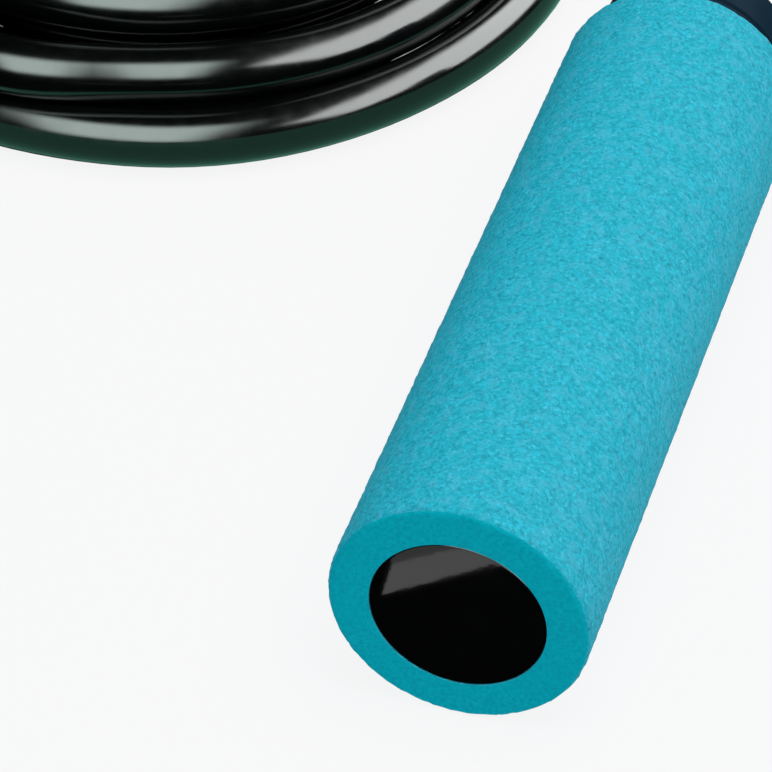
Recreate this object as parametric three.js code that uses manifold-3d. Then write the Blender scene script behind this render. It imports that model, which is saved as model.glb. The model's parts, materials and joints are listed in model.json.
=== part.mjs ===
// A jump rope: two foam-gripped handles with ball-bearing noses, joined by one PVC rope that is
// wound into a round coil between and behind them. Millimetres, +Z up. The origin is on the floor
// below the middle of the pair of handles, and +Y runs from the handles to the coil.
//
// Each handle is made along its own +Y axis, from the rear face at station 0 to the nose, where the
// rope leaves. A profile point is [radius, station].
import * as THREE from 'three';
import { mergeVertices } from 'three/addons/utils/BufferGeometryUtils.js';
import Module from 'manifold-3d';

// ---- driving dimensions ----------------------------------------------------------------------
const FIT = 0.3; // clearance between pieces that touch
const ROPE_RADIUS = 4;

const FOAM_RADIUS = 15.5;
const FOAM_LENGTH = 105.2;
const FOAM_EDGE = 0.9; // rounding of the foam's two outer edges

const TUBE_RADIUS = 10.4;
const TUBE_BORE = 8.8;

const PLUG_HEAD_DEPTH = 2.2;
const PLUG_DEPTH = 16;
const PLUG_WALL = 1.5;
const PLUG_EDGE = 0.5; // chamfer round the plug's face

const NOSE_RADIUS = 13;
const NOSE_LENGTH = 10; // how far the nose stands out of the foam
const NOSE_EDGE = 1.3;
const NOSE_BORE = 7.4;
const NOSE_SPIGOT_LENGTH = 19;

const BEARING_RADIUS = 9.5;
const BEARING_BORE = 5;
const BEARING_WIDTH = 5;
const BALL_RADIUS = 1.25;
const BALL_PITCH = 7.25; // radius of the circle of ball centres
const BALL_COUNT = 8;
const RACE_GAP = 0.95; // from the circle of ball centres to the land of either race
const CAGE_WIDTH = 1.2;
const CAGE_THICKNESS = 0.8;

const COVER_DEPTH = 1.8;
const COVER_HOLE = 5.3;

const SLEEVE_WALL = 0.4;
const SLEEVE_FLANGE = 6;
const SLEEVE_FLANGE_DEPTH = 1.4;
const SLEEVE_LIP = 0.5; // how far the sleeve stands out of the nose
const WASHER_RADIUS = 7;
const WASHER_DEPTH = 1.4;
const FERRULE_RADIUS = 6;
const FERRULE_LENGTH = 10;
const FERRULE_FLOOR = 1.5;

// How the handles lie: rear face centres this far either side of the middle, noses turned outwards.
const HANDLE_REAR_X = 38.43;
const HANDLE_TURN = THREE.MathUtils.degToRad(16.9);

const COIL_Y = 106.2;
// The outline of the wound turns: the outer wall leans back at 45 degrees above the floor turn.
const COIL_OUTLINE = [
  [28.8, 0],
  [60.4, 0],
  [60.4, 5.5],
  [40.3, 25],
  [36, 25],
  [23, 13],
  [23, 6],
];

// ---- stations along a handle, worked out from the dimensions above ---------------------------
const ROPE_HOLE = ROPE_RADIUS + FIT;
const HEAD_START = FOAM_LENGTH + FIT;
const HEAD_END = HEAD_START + NOSE_LENGTH;
const COVER_END = HEAD_END - FIT;
const COVER_START = COVER_END - COVER_DEPTH;
const BEARING_END = COVER_START - FIT;
const BEARING_START = BEARING_END - BEARING_WIDTH;
const BEARING_MIDDLE = BEARING_END - BEARING_WIDTH / 2;
const SEAT_START = BEARING_START - FIT;
const FLANGE_END = BEARING_START - FIT;
const FLANGE_START = FLANGE_END - SLEEVE_FLANGE_DEPTH;
const SLEEVE_END = HEAD_END + SLEEVE_LIP;
const WASHER_END = FLANGE_START - FIT;
const WASHER_START = WASHER_END - WASHER_DEPTH;
const FERRULE_END = WASHER_START - FIT;
const FERRULE_START = FERRULE_END - FERRULE_LENGTH;
const ROPE_END = FERRULE_START + FERRULE_FLOOR + FIT;

// The handles' own box is centred on the origin in Y.
const NOSE_REACH = SLEEVE_END * Math.cos(HANDLE_TURN);
const NOSE_TIP_WIDTH = (ROPE_HOLE + SLEEVE_WALL) * Math.sin(HANDLE_TURN);
const HEAD_TIP = HEAD_END * Math.cos(HANDLE_TURN);
const HEAD_TIP_WIDTH = (NOSE_RADIUS - NOSE_EDGE) * Math.sin(HANDLE_TURN);
const REAR_REACH = (FOAM_RADIUS - FOAM_EDGE) * Math.sin(HANDLE_TURN);
const FRONT_Y = Math.max(NOSE_REACH + NOSE_TIP_WIDTH, HEAD_TIP + HEAD_TIP_WIDTH);
const HANDLE_REAR_Y = (REAR_REACH - FRONT_Y) / 2;

// ---- the rope's route outside the coil -------------------------------------------------------
// Each lead starts in its ferrule, leaves its nose in line with the handle, comes down to the
// floor and curves round to the coil. x is for the right-hand handle and changes sign on the left.
const RIGHT_LEAD = [
  [75.6, 68.1, 15.5],
  [78.2, 81.3, 13.7],
  [78.5, 94.1, 10.3],
  [76.4, 106.8, 6.9],
  [72.3, 118.9, 4.8],
  [66.1, 130.1, 4.2],
  [58.0, 140.1, 4.2],
  [48.3, 148.5, 4.2],
];
const LEFT_LEAD = [
  [75.6, 68.1, 15.5],
  [78.1, 81.0, 13.7],
  [77.8, 94.2, 10.3],
  [74.9, 107.1, 6.9],
  [69.2, 119.2, 4.8],
  [58.9, 132.1, 4.3],
];

// ---- fineness of the facets ------------------------------------------------------------------
const FOAM_SEGMENTS = 40;
const TUBE_SEGMENTS = 32;
const INNER_SEGMENTS = 24;
const COIL_SEGMENTS = 56;
const EDGE_STEPS = 2;
const GROOVE_STEPS = 4;
const BALL_SEGMENTS = 8;
const ROPE_SIDES = 8;
const LEAD_STEP = 13; // length of one facet of a lead

// ---- materials -------------------------------------------------------------------------------
const surface = (color, roughness, metalness = 0) =>
  new THREE.MeshStandardMaterial({ color, roughness, metalness });

const MATERIALS = {
  foam: surface(0x14a2bb, 0.9),
  pvc: surface(0x0a0b0b, 0.22),
  nose: surface(0x0b0e14, 0.3),
  steel: surface(0xb4b7ba, 0.25, 1),
  brass: surface(0xb08d4a, 0.35, 1),
  alloy: surface(0xc4c6c8, 0.4, 1),
};

// ---- shape helpers ---------------------------------------------------------------------------
const wasm = await Module();
wasm.setup();

/** A round piece about +Y from a profile of [radius, station] points, closed on itself. */
function turned(profile, segments) {
  const points = [...profile, profile[0]].map(([r, y]) => new THREE.Vector2(r, y));
  return new THREE.LatheGeometry(points, segments);
}

/** A plain ring about +Y. */
function ring(inner, outer, start, end, segments) {
  return turned([[inner, start], [outer, start], [outer, end], [inner, end]], segments);
}

/** Points along a quarter round of an edge, from one angle to the next in degrees. */
function rounded(radius, station, size, fromDegrees, toDegrees, steps) {
  const points = [];
  for (let i = 0; i <= steps; i += 1) {
    const angle = THREE.MathUtils.degToRad(fromDegrees + ((toDegrees - fromDegrees) * i) / steps);
    points.push([radius + size * Math.cos(angle), station + size * Math.sin(angle)]);
  }
  return points;
}

/** The ball groove's points on a race, with depth measured from the circle of ball centres. */
function groove(sign) {
  const radius = BALL_RADIUS + FIT;
  const half = Math.acos(RACE_GAP / radius);
  const points = [];
  for (let i = 0; i <= GROOVE_STEPS; i += 1) {
    const angle = -half + (2 * half * i) / GROOVE_STEPS;
    const r = BALL_PITCH + sign * radius * Math.cos(angle);
    points.push([r, BEARING_MIDDLE + radius * Math.sin(angle)]);
  }
  return points;
}

/** A closed geometry as a manifold-3d solid. */
function toSolid(geometry) {
  geometry.deleteAttribute('normal');
  geometry.deleteAttribute('uv');
  const merged = mergeVertices(geometry);
  return new wasm.Manifold(
    new wasm.Mesh({
      numProp: 3,
      vertProperties: new Float32Array(merged.attributes.position.array),
      triVerts: new Uint32Array(merged.index.array),
    }),
  );
}

/** A manifold-3d solid as a geometry. */
function toGeometry(solid) {
  const mesh = solid.getMesh();
  const geometry = new THREE.BufferGeometry();
  geometry.setAttribute('position', new THREE.BufferAttribute(mesh.vertProperties, 3));
  geometry.setIndex(new THREE.BufferAttribute(mesh.triVerts, 1));
  geometry.computeVertexNormals();
  return geometry;
}

// ---- the handle's pieces, from the rear ------------------------------------------------------
/** Push-in plug that closes the rear of the core tube: a flush head on a hollow spigot. */
function endPlug() {
  const spigot = TUBE_BORE - FIT;
  const inside = spigot - PLUG_WALL;
  return turned(
    [
      [0, 0],
      [TUBE_RADIUS - PLUG_EDGE, 0],
      [TUBE_RADIUS, PLUG_EDGE],
      [TUBE_RADIUS, PLUG_HEAD_DEPTH],
      [spigot, PLUG_HEAD_DEPTH],
      [spigot, PLUG_DEPTH],
      [inside, PLUG_DEPTH],
      [inside, PLUG_HEAD_DEPTH + FIT],
      [0, PLUG_HEAD_DEPTH + FIT],
    ],
    INNER_SEGMENTS,
  );
}

/** Rigid tube inside the foam. */
function coreTube() {
  return ring(TUBE_BORE, TUBE_RADIUS, PLUG_HEAD_DEPTH + FIT, FOAM_LENGTH, TUBE_SEGMENTS);
}

/** Foam sleeve with softened ends. */
function foamGrip() {
  const bore = TUBE_RADIUS + FIT;
  const edge = FOAM_RADIUS - FOAM_EDGE;
  return turned(
    [
      [bore, 0],
      ...rounded(edge, FOAM_EDGE, FOAM_EDGE, -90, 0, EDGE_STEPS),
      ...rounded(edge, FOAM_LENGTH - FOAM_EDGE, FOAM_EDGE, 0, 90, EDGE_STEPS),
      [bore, FOAM_LENGTH],
    ],
    FOAM_SEGMENTS,
  );
}

/** Nose moulding: a spigot glued in the tube, and a head that holds the bearing. */
function noseHousing() {
  const spigot = TUBE_BORE - FIT;
  const seat = BEARING_RADIUS + FIT;
  return turned(
    [
      [NOSE_BORE, HEAD_START - NOSE_SPIGOT_LENGTH],
      [spigot, HEAD_START - NOSE_SPIGOT_LENGTH],
      [spigot, HEAD_START],
      [NOSE_RADIUS, HEAD_START],
      ...rounded(NOSE_RADIUS - NOSE_EDGE, HEAD_END - NOSE_EDGE, NOSE_EDGE, 0, 90, EDGE_STEPS),
      [seat, HEAD_END],
      [seat, SEAT_START],
      [NOSE_BORE, SEAT_START],
    ],
    INNER_SEGMENTS,
  );
}

/** Retaining ring that keeps the bearing in the nose. */
function frontCover() {
  return ring(COVER_HOLE, BEARING_RADIUS, COVER_START, COVER_END, INNER_SEGMENTS);
}

function bearingOuterRace() {
  return turned(
    [
      [BALL_PITCH + RACE_GAP, BEARING_START],
      [BEARING_RADIUS, BEARING_START],
      [BEARING_RADIUS, BEARING_END],
      [BALL_PITCH + RACE_GAP, BEARING_END],
      ...groove(1).reverse(),
    ],
    INNER_SEGMENTS,
  );
}

function bearingInnerRace() {
  return turned(
    [
      [BEARING_BORE, BEARING_START],
      [BALL_PITCH - RACE_GAP, BEARING_START],
      ...groove(-1),
      [BALL_PITCH - RACE_GAP, BEARING_END],
      [BEARING_BORE, BEARING_END],
    ],
    INNER_SEGMENTS,
  );
}

/** The balls and the cage that spaces them, as one running set. */
function ballCage() {
  const half = CAGE_THICKNESS / 2;
  const start = BEARING_MIDDLE - CAGE_WIDTH / 2;
  const band = ring(BALL_PITCH - half, BALL_PITCH + half, start, start + CAGE_WIDTH, INNER_SEGMENTS);
  let set = toSolid(band);
  for (let i = 0; i < BALL_COUNT; i += 1) {
    const angle = (2 * Math.PI * (i + 0.5)) / BALL_COUNT;
    const ball = new THREE.SphereGeometry(BALL_RADIUS, BALL_SEGMENTS, BALL_SEGMENTS);
    ball.translate(BALL_PITCH * Math.cos(angle), BEARING_MIDDLE, BALL_PITCH * Math.sin(angle));
    set = set.add(toSolid(ball));
  }
  return toGeometry(set);
}

/** Flanged eyelet in the bearing's bore, which the rope passes through. */
function swivelSleeve() {
  const outer = ROPE_HOLE + SLEEVE_WALL;
  return turned(
    [
      [ROPE_HOLE, FLANGE_START],
      [SLEEVE_FLANGE, FLANGE_START],
      [SLEEVE_FLANGE, FLANGE_END],
      [outer, FLANGE_END],
      [outer, SLEEVE_END],
      [ROPE_HOLE, SLEEVE_END],
    ],
    INNER_SEGMENTS,
  );
}

function stopWasher() {
  return ring(ROPE_HOLE, WASHER_RADIUS, WASHER_START, WASHER_END, INNER_SEGMENTS);
}

/** Cup crimped on the end of the rope, which stops it pulling out through the nose. */
function ropeFerrule() {
  const floor = FERRULE_START + FERRULE_FLOOR;
  return turned(
    [
      [0, FERRULE_START],
      [FERRULE_RADIUS, FERRULE_START],
      [FERRULE_RADIUS, FERRULE_END],
      [ROPE_HOLE, FERRULE_END],
      [ROPE_HOLE, floor],
      [0, floor],
    ],
    INNER_SEGMENTS,
  );
}

const HANDLE_PIECES = [
  ['end_plug', endPlug, MATERIALS.nose],
  ['core_tube', coreTube, MATERIALS.nose],
  ['foam_grip', foamGrip, MATERIALS.foam],
  ['nose_housing', noseHousing, MATERIALS.nose],
  ['front_cover', frontCover, MATERIALS.nose],
  ['bearing_outer_race', bearingOuterRace, MATERIALS.steel],
  ['bearing_inner_race', bearingInnerRace, MATERIALS.steel],
  ['ball_cage', ballCage, MATERIALS.steel],
  ['swivel_sleeve', swivelSleeve, MATERIALS.brass],
  ['stop_washer', stopWasher, MATERIALS.steel],
  ['rope_ferrule', ropeFerrule, MATERIALS.alloy],
];

// ---- the rope --------------------------------------------------------------------------------
/** A point on a handle's axis, as [x, y, z] in the part's frame. */
function onAxis(side, station) {
  return [
    side * (HANDLE_REAR_X + station * Math.sin(HANDLE_TURN)),
    HANDLE_REAR_Y + station * Math.cos(HANDLE_TURN),
    FOAM_RADIUS,
  ];
}

/** The rope from its ferrule to the wall of the coil. */
function ropeLead(side, outside) {
  const route = [
    onAxis(side, ROPE_END),
    onAxis(side, SLEEVE_END),
    ...outside.map(([x, y, z]) => [side * x, y, z]),
  ];
  const path = new THREE.CatmullRomCurve3(route.map((point) => new THREE.Vector3(...point)));
  const section = new THREE.Shape();
  for (let i = 0; i < ROPE_SIDES; i += 1) {
    const angle = (2 * Math.PI * i) / ROPE_SIDES;
    const x = ROPE_RADIUS * Math.cos(angle);
    const y = ROPE_RADIUS * Math.sin(angle);
    if (i === 0) {
      section.moveTo(x, y);
    } else {
      section.lineTo(x, y);
    }
  }
  return new THREE.ExtrudeGeometry(section, {
    steps: Math.round(path.getLength() / LEAD_STEP),
    extrudePath: path,
  });
}

/** The outer shape of the wound turns, standing on the floor. */
function ropeCoil() {
  return turned(COIL_OUTLINE, COIL_SEGMENTS);
}

// ---- the assembly ----------------------------------------------------------------------------
function piece(name, geometry, material) {
  const mesh = new THREE.Mesh(geometry, material);
  mesh.name = name;
  return mesh;
}

/** One handle, with side 1 on the right and -1 on the left. */
function handle(side, suffix) {
  const group = new THREE.Group();
  for (const [name, make, material] of HANDLE_PIECES) {
    group.add(piece(`${name}_${suffix}`, make(), material));
  }
  group.position.set(side * HANDLE_REAR_X, HANDLE_REAR_Y, FOAM_RADIUS);
  group.rotation.z = -side * HANDLE_TURN;
  return group;
}

const jumpRope = new THREE.Group();
jumpRope.add(handle(1, 'a'), handle(-1, 'b'));
jumpRope.add(piece('rope_lead_a', ropeLead(1, RIGHT_LEAD), MATERIALS.pvc));
jumpRope.add(piece('rope_lead_b', ropeLead(-1, LEFT_LEAD), MATERIALS.pvc));

const coil = piece('rope_coil', ropeCoil(), MATERIALS.pvc);
coil.rotation.x = Math.PI / 2;
coil.position.y = COIL_Y;
jumpRope.add(coil);

export default jumpRope;
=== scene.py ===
"""Looks of a jump rope: two foam-gripped handles and one PVC rope wound in a round coil.

Metres, in the part's own frame: +Z up, handles along +Y with their noses turned outwards, and the
coil behind them. A point on a handle is given as a station, measured from the handle's rear face
along its axis, and a radius from that axis.
"""
import json
import math

import bmesh
import bpy
import numpy as np
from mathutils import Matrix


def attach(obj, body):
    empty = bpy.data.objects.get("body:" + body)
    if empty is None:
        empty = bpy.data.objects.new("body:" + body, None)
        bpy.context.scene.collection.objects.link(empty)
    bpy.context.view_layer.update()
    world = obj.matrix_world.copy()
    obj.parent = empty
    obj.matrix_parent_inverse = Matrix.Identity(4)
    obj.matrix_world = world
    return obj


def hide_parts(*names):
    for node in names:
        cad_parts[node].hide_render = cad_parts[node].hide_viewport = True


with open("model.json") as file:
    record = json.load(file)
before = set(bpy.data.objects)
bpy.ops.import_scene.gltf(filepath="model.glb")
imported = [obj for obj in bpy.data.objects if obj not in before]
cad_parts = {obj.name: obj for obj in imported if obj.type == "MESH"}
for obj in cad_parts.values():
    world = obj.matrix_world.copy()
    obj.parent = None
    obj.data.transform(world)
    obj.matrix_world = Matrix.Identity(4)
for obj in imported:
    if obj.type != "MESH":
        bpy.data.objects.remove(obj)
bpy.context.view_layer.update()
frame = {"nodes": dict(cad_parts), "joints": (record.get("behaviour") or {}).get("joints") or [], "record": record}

SIDES = {"a": 1, "b": -1}  # the right-hand handle and the left-hand one
UP = np.array([0.0, 0.0, 1.0])

# ---- dimensions that the CAD model and this script share -------------------------------------
BEARING_STATION = 0.1106  # the spin joint's place on the handle
FOAM_RADIUS = 0.0155
FOAM_BORE = 0.0107
FOAM_LENGTH = 0.1052
TUBE_RADIUS = 0.0104
PLUG_HEAD_DEPTH = 0.0022
PLUG_SPIGOT = 0.0085
PLUG_DEPTH = 0.016
PLUG_INSIDE = 0.007
NOSE_RADIUS = 0.013
NOSE_START = 0.1055
NOSE_END = 0.1155
NOSE_BORE = 0.0074
NOSE_SEAT = 0.0098
NOSE_SEAT_START = 0.1078
NOSE_SPIGOT = 0.0085
NOSE_SPIGOT_START = 0.0865
COVER_START = 0.1134
COVER_END = 0.1152
COVER_RADIUS = 0.0095
COVER_HOLE = 0.0053
SLEEVE_BORE = 0.0043
SLEEVE_RADIUS = 0.0047
SLEEVE_FLANGE = 0.006
FLANGE_START = 0.1064
FLANGE_END = 0.1078
SLEEVE_END = 0.1160
ROPE_END = 0.0962
ROPE_RADIUS = 0.004
COIL_CENTRE = np.array([0.0, 0.1062])

# The rope outside each nose, as in the CAD model, in millimetres. x changes sign on the left.
LEADS = {
    "a": [
        (75.6, 68.1, 15.5),
        (78.2, 81.3, 13.7),
        (78.5, 94.1, 10.3),
        (76.4, 106.8, 6.9),
        (72.3, 118.9, 4.8),
        (66.1, 130.1, 4.2),
        (58.0, 140.1, 4.2),
        (48.3, 148.5, 4.2),
    ],
    "b": [
        (75.6, 68.1, 15.5),
        (78.1, 81.0, 13.7),
        (77.8, 94.2, 10.3),
        (74.9, 107.1, 6.9),
        (69.2, 119.2, 4.8),
        (58.9, 132.1, 4.3),
    ],
}

# ---- the coil --------------------------------------------------------------------------------
OUTER_TURN = 0.0557  # radius of the outermost turn, which lies on the floor
STEP_IN = 0.0057  # how far in, and how far up, each turn lies from the one that it leans on
STEP_UP = 0.0056
# Where each turn lies in the pile, in the order it is wound: steps in, and rows up.
TURNS = [(0, 0), (2, 0), (4, 0), (5, 1), (3, 1), (1, 1), (2.2, 2.17), (4.1, 2.1), (3.1, 3.15)]
# Where a turn wanders from its place, by its number: angle in degrees, then mm outwards and up.
# The outermost turn swells a little at the front. The next one that shows, turn 5, rides up on it
# at the front left, drops into the groove behind it, and humps a little before it goes on round.
# Turn 6, above those two, leans out a little at the front.
WANDER = {
    0: [(-112, 0, 0), (-99, 0.25, 0), (-90, 0.8, 0), (-78, 0.9, 0), (-63, 0.4, 0), (-45, 0, 0)],
    5: [
        (-155, 0, 0),
        (-135, 3.9, 2.2),
        (-112, 5.2, 2.35),
        (-106, 4.8, 2.3),
        (-101, 3.0, 1.75),
        (-97, 0.5, 0.4),
        (-82, 1.65, 1.25),
        (-65, 0.4, 0),
        (-30, 0, 0),
    ],
    6: [(-118, 0, 0), (-101, 0.55, 0.4), (-84, 0, 0)],
}
SHIFT_FROM, SHIFT_TO = 0.0, 105.0  # the angles between which a turn passes to its next place
CROSSING_RISE = 0.0024  # how much each row rises there to pass over the row below
LEAD_IN_EASE = 8.0  # degrees past there in which the first lead joins the outermost turn
LEAD_OUT_TURN = 125.0  # degrees in which the last turn widens to meet the other lead
LEAD_OUT_DROP = 50.0  # degrees, the last of those, in which it drops to the lead's height
ANGLE_STEP = 4.0
ROPE_STEP = 0.003  # spacing of the rope's points
ROPE_CORNERS = 6  # rounds of softening that take the corners off the rope's route
HELD_POINTS = 33  # points at each end that the handles keep in place


def smooth(t, low, high):
    """A soft step from 0 at low to 1 at high."""
    t = np.clip((t - low) / (high - low), 0, 1)
    return t * t * (3 - 2 * t)


class Handle:
    """A handle's axis, read from its spin joint."""

    def __init__(self, suffix):
        joint = next(j for j in frame["joints"] if j["name"] == f"handle_{suffix}_spin")
        self.suffix = suffix
        self.axis = np.array(joint["axis"], float)
        self.axis /= np.linalg.norm(self.axis)
        self.rear = np.array(joint["pos_m"], float) - self.axis * BEARING_STATION
        self.across = np.cross(self.axis, UP)

    def at(self, station, radius=0.0, angle=0.0):
        """A point on the handle, with angle 0 level and a quarter turn up."""
        out = self.across * math.cos(angle) + UP * math.sin(angle)
        return self.rear + self.axis * station + out * radius


HANDLES = {suffix: Handle(suffix) for suffix in SIDES}


# ---- camera ----------------------------------------------------------------------------------
def make_camera():
    """A long lens that looks down at the right-hand grip from behind its rear end."""
    elevation = math.radians(40.34)
    target = np.array([0.0304, 0.0036, 0.0])
    distance = 0.5415
    data = bpy.data.cameras.new("camera")
    data.lens = 200.9
    data.sensor_width = 36.0
    data.clip_start = 0.01
    data.clip_end = 100.0
    camera = bpy.data.objects.new("camera", data)
    back = np.array([0.0, -math.cos(elevation), math.sin(elevation)])
    camera.location = target + back * distance
    camera.rotation_euler = (math.pi / 2 - elevation, 0, 0)
    bpy.context.collection.objects.link(camera)
    bpy.context.scene.camera = camera


# ---- the rope's route ------------------------------------------------------------------------
def through(points, per_span=8):
    """A smooth line through the points."""
    ends = [2 * points[0] - points[1], *points, 2 * points[-1] - points[-2]]
    line = []
    for a, b, c, d in zip(ends, ends[1:], ends[2:], ends[3:]):
        for t in np.arange(per_span) / per_span:
            bend = (2 * a - 5 * b + 4 * c - d) * t * t + (3 * b - a - 3 * c + d) * t**3
            line.append(b + 0.5 * ((c - a) * t + bend))
    return np.array([*line, points[-1]])


def lead_line(handle):
    """The rope from its end inside the handle to the coil's wall."""
    side = SIDES[handle.suffix]
    outside = [np.array([side * x, y, z]) / 1000 for x, y, z in LEADS[handle.suffix]]
    return through([handle.at(ROPE_END), handle.at(SLEEVE_END), *outside])


def polar(point):
    """A point's distance, height and angle in degrees round the coil's axis."""
    x, y = point[:2] - COIL_CENTRE
    return math.hypot(x, y), point[2], math.degrees(math.atan2(y, x))


def wander(turn, past):
    """How far out and up a turn lies from its place, at an angle past the end of the turn before."""
    if turn not in WANDER:
        return 0.0, 0.0
    angles, outs, ups = np.array(WANDER[turn]).T
    at = past if past < 0 else past - 360
    return np.interp(at, angles, outs) / 1000, np.interp(at, angles, ups) / 1000


def wound_turns(start, end):
    """The coil's turns from one lead's end to the other's, each in its place in the pile."""
    start_radius, _, start_angle = polar(start)
    end_radius, end_height, end_angle = polar(end)
    end_angle += 360 * len(TURNS)
    count = round((end_angle - start_angle) / ANGLE_STEP) + 1
    line = []
    for angle in np.linspace(start_angle, end_angle, count):
        turn = math.floor((angle - SHIFT_TO) / 360)
        past = angle - 360 * (turn + 1)
        shift = smooth(past, SHIFT_FROM, SHIFT_TO)
        last = len(TURNS) - 1
        here = np.array(TURNS[min(max(turn, 0), last)], float)
        there = np.array(TURNS[min(max(turn + 1, 0), last)], float)
        steps, row = here + (there - here) * shift
        out, up = wander(turn, past)
        radius = OUTER_TURN - STEP_IN * steps + out
        height = ROPE_RADIUS + STEP_UP * row + CROSSING_RISE * row * math.sin(math.pi * shift) + up
        entering = 1 - smooth(angle, start_angle, SHIFT_TO + LEAD_IN_EASE)
        leaving = smooth(angle, end_angle - LEAD_OUT_TURN, end_angle)
        radius += (start_radius - radius) * entering
        radius += (end_radius - radius) * leaving
        height += (end_height - height) * smooth(angle, end_angle - LEAD_OUT_DROP, end_angle)
        around = math.radians(angle)
        x, y = COIL_CENTRE + radius * np.array([math.cos(around), math.sin(around)])
        line.append((x, y, height))
    return np.array(line)


def evenly(line, step):
    """The line again with points about one step apart."""
    along = np.concatenate([[0], np.cumsum(np.linalg.norm(np.diff(line, axis=0), axis=1))])
    at = np.linspace(0, along[-1], round(along[-1] / step) + 1)
    return np.stack([np.interp(at, along, line[:, k]) for k in range(3)], axis=1)


def soften(line, times):
    """Takes the corners off a line, with its ends kept."""
    for _ in range(times):
        line[1:-1] = 0.5 * line[1:-1] + 0.25 * (line[:-2] + line[2:])
    return line


def settle(line, held, rounds=400, memory=0.01):
    """Pushes turns apart where they lie in each other, as stiff smooth rope would, above the floor."""
    diameter = 2 * ROPE_RADIUS
    reach = 2.6 * diameter  # points further apart than this never meet
    neighbours = round(3 * diameter / ROPE_STEP)  # points this close along the rope aren't pushed
    stiffness = 0.6
    goal = line.copy()
    count = len(line)
    i, j = np.triu_indices(count, neighbours)
    near = np.linalg.norm(line[i] - line[j], axis=1) < reach
    i, j = i[near], j[near]
    free = np.ones(count)
    free[:held] = 0
    free[-held:] = 0
    for _ in range(rounds):
        between = line[i] - line[j]
        apart = np.linalg.norm(between, axis=1)
        touching = apart < diameter
        push = between[touching] * ((diameter / apart[touching] - 1) * stiffness)[:, None]
        move, pushes = np.zeros_like(line), np.zeros(count)
        for ends, sign in ((i[touching], 1), (j[touching], -1)):
            np.add.at(move, ends, sign * push)
            np.add.at(pushes, ends, 1)
        line = line + move / np.maximum(pushes, 1)[:, None] * free[:, None]
        bent = soften(line - goal, 2) * (1 - memory)
        line = goal + bent * free[:, None]
        line[:, 2] = np.maximum(line[:, 2], ROPE_RADIUS)
    return line


def rope_line():
    """The whole rope: out of the right-hand nose, round the coil and into the left-hand nose."""
    first, last = lead_line(HANDLES["a"]), lead_line(HANDLES["b"])[::-1]
    turns = wound_turns(first[-1], last[0])
    line = evenly(np.concatenate([first[:-1], turns, last[1:]]), ROPE_STEP)
    return settle(soften(line, ROPE_CORNERS), HELD_POINTS)


def make_rope():
    """One rope of constant thickness, from ferrule to ferrule."""
    line = rope_line()
    curve = bpy.data.curves.new("rope", "CURVE")
    curve.dimensions = "3D"
    curve.bevel_depth = ROPE_RADIUS
    curve.bevel_resolution = 10
    curve.use_fill_caps = True
    curve.twist_mode = "MINIMUM"
    spline = curve.splines.new("POLY")
    spline.points.add(len(line) - 1)
    spline.points.foreach_set("co", np.column_stack([line, np.ones(len(line))]).ravel())
    spline.use_smooth = True
    rope = bpy.data.objects.new("rope", curve)
    bpy.context.collection.objects.link(rope)
    rope.data.materials.append(MATERIALS["rope_pvc"])
    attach(rope, "rope")
    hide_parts("rope_coil", "rope_lead_a", "rope_lead_b")
    HANDLES["a"].at(SLEEVE_END)


# ---- materials -------------------------------------------------------------------------------
MIX_INPUTS = (0, 6, 7)  # where a mix node has its factor and its two colours
MIX_OUTPUT = 2


class Shader:
    """A material's node tree, with short calls for the nodes that this script uses."""

    def __init__(self, name, **values):
        """Named values go to the sockets of that name, with their spaces as underscores."""
        self.material = bpy.data.materials.new(name)
        self.material.use_nodes = True
        self.nodes = self.material.node_tree.nodes
        self.links = self.material.node_tree.links
        self.principled = self.nodes["Principled BSDF"]
        self.place = self.nodes.new("ShaderNodeTexCoord").outputs["Object"]
        for socket, value in values.items():
            self.principled.inputs[socket.replace("_", " ")].default_value = value

    def noise(self, scale, detail=2.0, roughness=0.5, distortion=0.0):
        node = self.nodes.new("ShaderNodeTexNoise")
        node.inputs["Scale"].default_value = scale
        node.inputs["Detail"].default_value = detail
        node.inputs["Roughness"].default_value = roughness
        node.inputs["Distortion"].default_value = distortion
        self.links.new(self.place, node.inputs["Vector"])
        return node.outputs["Fac"]

    def cells(self, scale):
        node = self.nodes.new("ShaderNodeTexVoronoi")
        node.inputs["Scale"].default_value = scale
        self.links.new(self.place, node.inputs["Vector"])
        return node.outputs["Distance"]

    def between(self, factor, low, high, first, second):
        """A number or colour that goes from first to second as factor goes from low to high."""
        ramp = self.nodes.new("ShaderNodeValToRGB")
        ramp.color_ramp.elements[0].position = low
        ramp.color_ramp.elements[1].position = high
        for element, value in zip(ramp.color_ramp.elements, (first, second)):
            element.color = (*value, 1) if hasattr(value, "__len__") else (value,) * 3 + (1,)
        self.links.new(factor, ramp.inputs["Fac"])
        return ramp.outputs["Color"]

    def mixed(self, factor, first, second):
        """The first colour, with as much of the second as factor says."""
        node = self.nodes.new("ShaderNodeMix")
        node.data_type = "RGBA"
        sockets = [node.inputs[k] for k in MIX_INPUTS]
        for socket, value in zip(sockets, (factor, first, second)):
            if isinstance(value, bpy.types.NodeSocket):
                self.links.new(value, socket)
            else:
                socket.default_value = (*value, 1)
        return node.outputs[MIX_OUTPUT]

    def bump(self, height, distance, strength=1.0, after=None):
        node = self.nodes.new("ShaderNodeBump")
        node.inputs["Strength"].default_value = strength
        node.inputs["Distance"].default_value = distance
        self.links.new(height, node.inputs["Height"])
        if after is not None:
            self.links.new(after, node.inputs["Normal"])
        return node.outputs["Normal"]

    def feed(self, socket, value):
        self.links.new(value, self.principled.inputs[socket])


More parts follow.
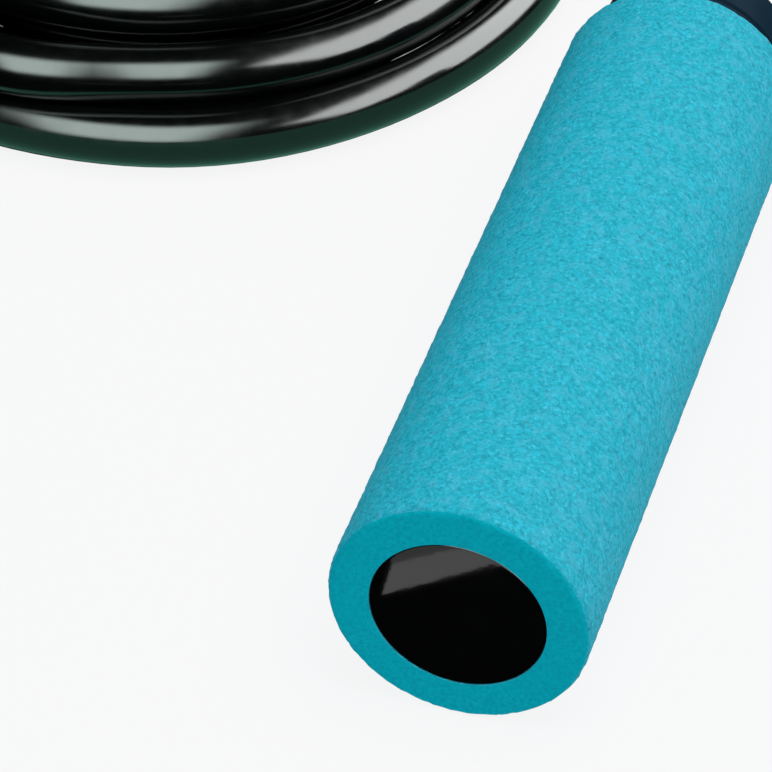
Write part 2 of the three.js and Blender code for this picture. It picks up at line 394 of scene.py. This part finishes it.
def foam_skin():
    """Ground closed-cell foam: a fine grain of open cells, painted darker inside as shade, with pale flecks
    painted on their rims as glints, and a paler, greyer tint painted over all as sheen.
    """
    look = Shader("foam_skin", Specular_IOR_Level=0.1)
    grain = look.noise(1650, 3.0, 0.7)
    rim_glints = look.noise(2300, 2.0, 0.6, 0.4)
    pores = look.cells(1300)
    mottle = look.noise(230)
    blush = look.noise(620)
    # The skin's colours run paler and greyer than the cut's: a painted sheen, which its sides catch from the
    # lamps.
    colour = look.between(grain, 0.30, 0.70, (0.001, 0.235, 0.325), (0.016, 0.495, 0.66))
    colour = look.mixed(look.between(mottle, 0.35, 0.65, 0.0, 0.3), colour, (0.004, 0.35, 0.45))
    colour = look.mixed(look.between(blush, 0.48, 0.68, 0.0, 0.5), colour, (0.075, 0.40, 0.55))
    # Pale flecks on the cells' rims: painted glints.
    colour = look.mixed(look.between(rim_glints, 0.55, 0.72, 0.0, 0.6), colour, (0.10, 0.52, 0.72))
    # Darker cell middles: painted shade inside the open cells. The bump dips them too.
    colour = look.mixed(look.between(pores, 0.04, 0.28, 0.6, 0.0), colour, (0.003, 0.16, 0.23))
    look.feed("Base Color", colour)
    look.feed("Roughness", look.between(mottle, 0.3, 0.7, 0.82, 0.97))
    look.feed("Normal", look.bump(grain, 0.00025, 0.9, look.bump(pores, 0.00012, 0.7)))
    return look.material


def foam_cut():
    """The sawn ends of the foam, closer and more even than its ground skin, which is the same foam with a painted
    sheen.
    """
    look = Shader("foam_cut", Specular_IOR_Level=0.02)
    grain = look.noise(2100, 2.0, 0.6)
    mottle = look.noise(300)
    colour = look.between(grain, 0.3, 0.7, (0.0, 0.30, 0.39), (0.001, 0.405, 0.525))
    colour = look.mixed(look.between(mottle, 0.35, 0.65, 0.0, 0.4), colour, (0.0, 0.365, 0.45))
    look.feed("Base Color", colour)
    look.feed("Roughness", look.between(mottle, 0.3, 0.7, 0.85, 0.97))
    look.feed("Normal", look.bump(grain, 0.0001, 0.5))
    return look.material


def rope_pvc():
    """Extruded black PVC with a wet shine and the faint waver of the extruder."""
    look = Shader("rope_pvc", IOR=1.5)
    waver = look.noise(55)
    haze = look.noise(420, 3.0)
    dark, pale = (0.0012, 0.0014, 0.0014), (0.0018, 0.0021, 0.002)
    look.feed("Base Color", look.between(waver, 0.3, 0.7, dark, pale))
    look.feed("Roughness", look.between(haze, 0.35, 0.7, 0.15, 0.2))
    look.feed("Normal", look.bump(waver, 0.0004, 0.35))
    return look.material


def moulded(name, low, high, roughness, shine):
    """Black moulded plastic with a slight orange-peel surface."""
    look = Shader(name, IOR=1.5, Specular_IOR_Level=shine)
    peel = look.noise(900)
    cloud = look.noise(130)
    look.feed("Base Color", look.between(cloud, 0.3, 0.7, low, high))
    look.feed("Roughness", look.between(cloud, 0.3, 0.7, roughness * 0.85, roughness * 1.15))
    look.feed("Normal", look.bump(peel, 0.00005, 0.08))
    return look.material


def metal(name, low, high, roughness):
    """Machined metal with fine, uneven tooling marks."""
    look = Shader(name, Metallic=1.0)
    marks = look.noise(1500, 3.0, 0.6)
    stain = look.noise(160)
    look.feed("Base Color", look.between(stain, 0.3, 0.7, low, high))
    look.feed("Roughness", look.between(marks, 0.3, 0.7, roughness * 0.7, roughness * 1.3))
    look.feed("Normal", look.bump(marks, 0.00004, 0.3))
    return look.material


def glowing(name, colour, glow, strength):
    """An even surface of the stage, which lights what is round it and has no gloss."""
    look = Shader(name, Roughness=1.0, Specular_IOR_Level=0.0, Emission_Strength=strength)
    look.principled.inputs["Base Color"].default_value = (*colour, 1)
    look.principled.inputs["Emission Color"].default_value = (*glow, 1)
    return look.material


MATERIALS = {
    "foam_skin": foam_skin(),
    "foam_cut": foam_cut(),
    "rope_pvc": rope_pvc(),
    "nose_plastic": moulded("nose_plastic", (0.004, 0.014, 0.026), (0.006, 0.019, 0.034), 0.45, 0.008),
    "plug_plastic": moulded("plug_plastic", (0.0012,) * 3, (0.0018,) * 3, 0.06, 0.5),
    "bearing_steel": metal("bearing_steel", (0.62, 0.63, 0.65), (0.72, 0.73, 0.74), 0.18),
    "washer_steel": metal("washer_steel", (0.52, 0.52, 0.53), (0.62, 0.62, 0.62), 0.32),
    "eyelet_brass": metal("eyelet_brass", (0.60, 0.44, 0.18), (0.74, 0.57, 0.28), 0.28),
    "ferrule_alloy": metal("ferrule_alloy", (0.66, 0.67, 0.68), (0.76, 0.77, 0.78), 0.38),
}


# ---- turned pieces ---------------------------------------------------------------------------
def arc(radius, station, size, start, end, steps=6):
    """Profile points round part of a circle, with angles in degrees from straight out."""
    angles = np.radians(np.linspace(start, end, steps + 1))
    return [(radius + size * math.cos(a), station + size * math.sin(a)) for a in angles]


def turned(name, handle, profile, segments, angle_limit=35):
    """A mesh made by turning a closed [radius, station] profile about a handle's axis."""
    mesh = bmesh.new()
    angles = [2 * math.pi * k / segments for k in range(segments)]
    rings = [
        [mesh.verts.new(handle.at(station, radius, angle)) for angle in angles]
        for radius, station in profile
    ]
    for ring, following in zip(rings, rings[1:] + rings[:1]):
        for k in range(segments):
            after = (k + 1) % segments
            mesh.faces.new((ring[k], ring[after], following[after], following[k]))
    bmesh.ops.remove_doubles(mesh, verts=mesh.verts, dist=1e-7)
    bmesh.ops.recalc_face_normals(mesh, faces=mesh.faces)
    for face in mesh.faces:
        face.smooth = True
    for edge in mesh.edges:
        edge.smooth = not (edge.is_manifold and edge.calc_face_angle() > math.radians(angle_limit))
    data = bpy.data.meshes.new(name)
    mesh.to_mesh(data)
    mesh.free()
    piece = bpy.data.objects.new(name, data)
    bpy.context.collection.objects.link(piece)
    return piece


def fit_out(piece, handle, body, node, slot, *materials):
    """Gives a handle's piece its body and its materials, which are named by its slot unless listed, and hides the
    CAD node it stands for.
    """
    for material in materials or (slot,):
        piece.data.materials.append(MATERIALS[material])
    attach(piece, body if body == "rope" else f"{body}_{handle.suffix}")
    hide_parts(f"{node}_{handle.suffix}")


# ---- the handle's visible pieces -------------------------------------------------------------
GRAIN = 0.0007  # spacing of the foam's vertices
GRAIN_HEIGHT = 0.00004
FOAM_SQUEEZE = 0.0002  # how much closer to the tube the soft sleeve grips than its cut bore


def make_foam(handle):
    """The foam sleeve, with softly rounded ends and a grain that shows on its outline."""
    rear_edge = 0.0009
    front_edge = 0.0016
    inner_edge = 0.00008
    inside = FOAM_BORE - FOAM_SQUEEZE + inner_edge
    rear_rim, front_rim = FOAM_RADIUS - rear_edge, FOAM_RADIUS - front_edge
    front_start = FOAM_LENGTH - front_edge
    rows = round((front_start - rear_edge) / GRAIN)
    flat = round((rear_rim - inside) / GRAIN)
    profile = [(r, 0.0) for r in np.linspace(inside, rear_rim, flat)[:-1]]
    profile += arc(rear_rim, rear_edge, rear_edge, -90, 0)
    profile += [(FOAM_RADIUS, s) for s in np.linspace(rear_edge, front_start, rows)[1:-1]]
    profile += arc(front_rim, front_start, front_edge, 0, 90)
    profile += [(r, FOAM_LENGTH) for r in np.linspace(front_rim, inside, flat)[1:]]
    profile += arc(inside, FOAM_LENGTH - inner_edge, inner_edge, 90, 180, 3)[1:]
    profile += arc(inside, inner_edge, inner_edge, 180, 270, 3)[:-1]
    segments = round(2 * math.pi * FOAM_RADIUS / GRAIN / 2) * 2
    foam = turned(f"foam_sleeve_{handle.suffix}", handle, profile, segments, angle_limit=60)
    fit_out(foam, handle, "handle", "foam_grip", "foam", "foam_skin", "foam_cut")
    grain_the_foam(foam, handle)
    # The end faces take the cut foam, which has none of the skin's painted sheen.
    faces_the_end = [
        abs(after[0] - before[0]) > abs(after[1] - before[1])
        for before, after in zip(profile, profile[1:] + profile[:1])
    ]
    for face in foam.data.polygons:  # they come in rings, in the profile's order
        face.material_index = int(faces_the_end[face.index // segments])
    foam.visible_glossy = False


def grain_the_foam(foam, handle):
    """Moves the skin's vertices in and out a little at random."""
    random = np.random.default_rng(7 + ord(handle.suffix))
    points = np.zeros(len(foam.data.vertices) * 3)
    foam.data.vertices.foreach_get("co", points)
    points = points.reshape(-1, 3)
    normals = np.zeros(len(foam.data.vertices) * 3)
    foam.data.vertices.foreach_get("normal", normals)
    depth = random.normal(0, GRAIN_HEIGHT, len(points)).clip(-2 * GRAIN_HEIGHT, 2 * GRAIN_HEIGHT)
    radius = np.linalg.norm(np.cross(points - handle.rear, handle.axis), axis=1)
    even, grained = FOAM_BORE + 0.001, FOAM_RADIUS - 0.0005
    share = smooth(radius, even, grained)
    points += normals.reshape(-1, 3) * (depth * share)[:, None]
    points[:, 2] = np.maximum(points[:, 2], 0)
    foam.data.vertices.foreach_set("co", points.ravel())
    foam.data.update()


def make_plug(handle):
    """The push-in plug: a nearly flat head with a rounded rim, on a ribbed hollow spigot."""
    edge = 0.00008
    crown = 0.00006
    sunk = 0.0001  # how far the head's rim lies inside the foam's end
    rib, rib_back = 0.0003, 0.0002
    first_rib, last_rib, ribs = 0.005, 0.014, 4
    between_ribs = PLUG_SPIGOT - rib
    tip = PLUG_SPIGOT - 0.0005
    head_inside = PLUG_HEAD_DEPTH + 0.0003
    flat = np.linspace(0, TUBE_RADIUS - 2 * edge, 20)
    profile = [(r, sunk - crown * (1 - (r / TUBE_RADIUS) ** 2)) for r in flat]
    profile += arc(TUBE_RADIUS - edge, sunk + edge, edge, -90, 0)
    profile += [(TUBE_RADIUS, PLUG_HEAD_DEPTH), (between_ribs, PLUG_HEAD_DEPTH)]
    for station in np.linspace(first_rib, last_rib, ribs):
        profile += [
            (between_ribs, station - 2 * rib),
            (PLUG_SPIGOT, station),
            (between_ribs, station + rib_back),
        ]
    profile += [(tip, PLUG_DEPTH), (PLUG_INSIDE, PLUG_DEPTH)]
    profile += [(PLUG_INSIDE, head_inside), (0, head_inside)]
    plug = turned(f"push_in_plug_{handle.suffix}", handle, profile, segments=144)
    fit_out(plug, handle, "plug", "end_plug", "plug_plastic")


def make_nose(handle):
    """The nose moulding, with a rounded front edge and one shallow groove round its head."""
    edge = 0.0013
    heel = 0.0004
    lip = 0.0003
    groove = 0.0003
    groove_at = NOSE_START + 0.0028
    profile = [(NOSE_BORE, NOSE_SPIGOT_START), (NOSE_SPIGOT, NOSE_SPIGOT_START)]
    profile.append((NOSE_SPIGOT, NOSE_START))
    profile += arc(NOSE_RADIUS - heel, NOSE_START + heel, heel, -90, 0, 4)
    profile += [
        (NOSE_RADIUS, groove_at - 2 * groove),
        (NOSE_RADIUS - groove, groove_at - groove),
        (NOSE_RADIUS - groove, groove_at + groove),
        (NOSE_RADIUS, groove_at + 2 * groove),
    ]
    profile += arc(NOSE_RADIUS - edge, NOSE_END - edge, edge, 0, 90)
    profile += arc(NOSE_SEAT + lip, NOSE_END - lip, lip, 90, 180, 3)
    profile += [(NOSE_SEAT, NOSE_SEAT_START), (NOSE_BORE, NOSE_SEAT_START)]
    nose = turned(f"nose_moulding_{handle.suffix}", handle, profile, segments=72)
    fit_out(nose, handle, "handle", "nose_housing", "nose_plastic")


def make_cover(handle):
    """The retaining ring in the nose, dished towards its hole."""
    edge = 0.0003
    rim = 0.0012
    dish = 0.0004
    profile = [(COVER_HOLE, COVER_START), (COVER_RADIUS, COVER_START)]
    profile += arc(COVER_RADIUS - edge, COVER_END - edge, edge, 0, 90, 3)
    profile += [(COVER_RADIUS - rim, COVER_END), (COVER_RADIUS - rim - dish, COVER_END - dish)]
    profile += arc(COVER_HOLE + dish, COVER_END - 2 * dish, dish, 90, 180, 4)
    cover = turned(f"retaining_ring_{handle.suffix}", handle, profile, segments=64)
    fit_out(cover, handle, "handle", "front_cover", "nose_plastic")


def make_sleeve(handle):
    """The brass eyelet that the rope leaves by, with a rolled lip."""
    lip = (SLEEVE_RADIUS - SLEEVE_BORE) / 2
    profile = [(SLEEVE_BORE, FLANGE_START), (SLEEVE_FLANGE, FLANGE_START), (SLEEVE_FLANGE, FLANGE_END)]
    profile += [(SLEEVE_RADIUS, FLANGE_END)]
    profile += arc(SLEEVE_BORE + lip, SLEEVE_END - lip, lip, 0, 180, 6)
    sleeve = turned(f"eyelet_{handle.suffix}", handle, profile, segments=64)
    fit_out(sleeve, handle, "rope", "swivel_sleeve", "eyelet_brass")


def finish_inner_nodes():
    """Gives the CAD pieces that stay, all inside the handles, their materials."""
    slots = {part["node"]: part["material_slot"] for part in frame["record"]["subparts"]}
    for node, piece in frame["nodes"].items():
        if slots[node] in MATERIALS:
            piece.data.materials.clear()
            piece.data.materials.append(MATERIALS[slots[node]])


# ---- the studio ------------------------------------------------------------------------------
LAMP_DISTANCE = 1.3


def make_floor():
    """A lit white table, which doesn't show in the gloss of the rope and the plugs."""
    size = 30.0
    data = bpy.data.meshes.new("floor")
    corners = [(-size, -size, 0), (size, -size, 0), (size, size, 0), (-size, size, 0)]
    data.from_pydata(corners, [], [(0, 1, 2, 3)])
    floor = bpy.data.objects.new("floor", data)
    bpy.context.collection.objects.link(floor)
    data.materials.append(glowing("floor_white", (0.06, 0.05, 0.055), (1, 1, 1), 0.885))
    floor.visible_glossy = False


def softbox(name, azimuth, elevation, size, radiance, colour, shift=0.0, edge=0.3):
    """A lamp panel that faces the object and fades out towards its edges.

    Azimuth 0 is behind the camera and 90 to the right. The panel can be shifted along its width.
    """
    turn, tilt = math.radians(azimuth), math.radians(elevation)
    level = np.array([math.sin(turn), -math.cos(turn), 0.0])
    way = level * math.cos(tilt) + UP * math.sin(tilt)
    along = np.array([math.cos(turn), math.sin(turn), 0.0])
    data = bpy.data.lights.new(name, "AREA")
    data.shape = "RECTANGLE"
    data.size, data.size_y = size
    data.energy = radiance * math.pi * size[0] * size[1]
    data.color = colour
    data.use_nodes = True
    fade_edges(data.node_tree, edge)
    lamp = bpy.data.objects.new(name, data)
    lamp.location = way * LAMP_DISTANCE + along * shift
    lamp.rotation_euler = (math.pi / 2 - tilt, 0, turn)
    bpy.context.collection.objects.link(lamp)
    return lamp


def fade_edges(tree, edge):
    """Fades a lamp panel out towards its four edges, over a share of its width and height."""
    middle = 0.5  # a panel runs from 0 to 1 both ways
    place = tree.nodes.new("ShaderNodeNewGeometry").outputs["Parametric"]
    split = tree.nodes.new("ShaderNodeSeparateXYZ")
    tree.links.new(place, split.inputs["Vector"])
    both = tree.nodes.new("ShaderNodeMath")
    both.operation = "MULTIPLY"
    for axis, socket in zip(("X", "Y"), both.inputs):
        from_edge = tree.nodes.new("ShaderNodeMath")
        from_edge.operation = "PINGPONG"
        from_edge.inputs[1].default_value = middle
        tree.links.new(split.outputs[axis], from_edge.inputs[0])
        fade = tree.nodes.new("ShaderNodeMapRange")
        fade.interpolation_type = "SMOOTHSTEP"
        fade.inputs["From Max"].default_value = edge
        tree.links.new(from_edge.outputs[0], fade.inputs["Value"])
        tree.links.new(fade.outputs["Result"], socket)
    tree.links.new(both.outputs[0], tree.nodes["Emission"].inputs["Strength"])


def make_world():
    """A dim, slightly green room, which fills the shadows but isn't seen in the gloss."""
    world = bpy.data.worlds.new("studio")
    world.use_nodes = True
    world.node_tree.nodes["Background"].inputs["Color"].default_value = (0.25, 0.50, 0.50, 1)
    world.cycles_visibility.glossy = False
    bpy.context.scene.world = world


def reflector(name, rows, colour):
    """A card that only the gloss of the rope and the plug sees, from rows of points."""
    data = bpy.data.meshes.new(name)
    width = len(rows[0])
    corners = [tuple(point) for row in rows for point in row]
    faces = [
        (r * width + k, r * width + k + 1, (r + 1) * width + k + 1, (r + 1) * width + k)
        for r in range(len(rows) - 1)
        for k in range(width - 1)
    ]
    data.from_pydata(corners, [], faces)
    card = bpy.data.objects.new(name, data)
    bpy.context.collection.objects.link(card)
    data.materials.append(glowing(name, (0, 0, 0), colour, 1.0))
    card.visible_camera = False
    card.visible_diffuse = False
    card.visible_shadow = False
    card.visible_transmission = False


def make_reflectors():
    """A low card round the front of the coil, and two on the table behind the right-hand plug."""
    low, high = 0.0002, 0.0064
    near_coil, off_coil = 0.0583, 0.0612
    ways = [np.array([math.cos(a), math.sin(a)]) for a in np.radians(np.arange(-178, -1, 4))]
    rows = [
        [(*(COIL_CENTRE + radius * way), height) for way in ways]
        for radius, height in ((near_coil, low), (off_coil, low), (off_coil, high))
    ]
    reflector("coil_reflector", rows, (0.19, 0.59, 0.43))
    # The plug's two cards share a seam. Each edge starts a little further along it than the last.
    seam_start = np.array([0.0155, -0.0683, low])
    along = np.array([0.0089, -0.0140, 0.0])
    across = np.array([0.00294, 0.0019, 0.0])
    length, front_width, back_width = 3.5, 1.4, 11
    front, seam, back = [
        [seam_start + out * across + reach * along for reach in (start, length)]
        for out, start in ((front_width, 0.05), (0, 0.25), (-back_width, 0.8))
    ]
    reflector("plug_reflector", [front, seam], (1.3, 1.3, 1.3))
    reflector("plug_backing", [seam, back], (0.6, 0.6, 0.6))


def make_lights():
    """One overhead lamp for the foam, and two softboxes that draw the long lights on the rope."""
    overhead = softbox("overhead", 65, 74, (1.2, 1.2), 3.85, (1, 1, 1), edge=0.1)
    left = softbox("left_softbox", -8, 50, (1.4, 2.05), 9.5, (0.84, 1.0, 0.95), shift=-0.16)
    right = softbox(
        "right_softbox", 100, 41, (2.74, 1.22), 10.5, (0.96, 1.0, 0.98), shift=-0.07, edge=0.17
    )
    overhead.visible_glossy = False
    left.visible_diffuse = False
    right.visible_diffuse = False


make_camera()
make_rope()
for each in HANDLES.values():
    make_foam(each)
    make_plug(each)
    make_nose(each)
    make_cover(each)
    make_sleeve(each)
finish_inner_nodes()
make_floor()
make_world()
make_reflectors()
make_lights()
bpy.context.scene.view_settings.view_transform = "Standard"
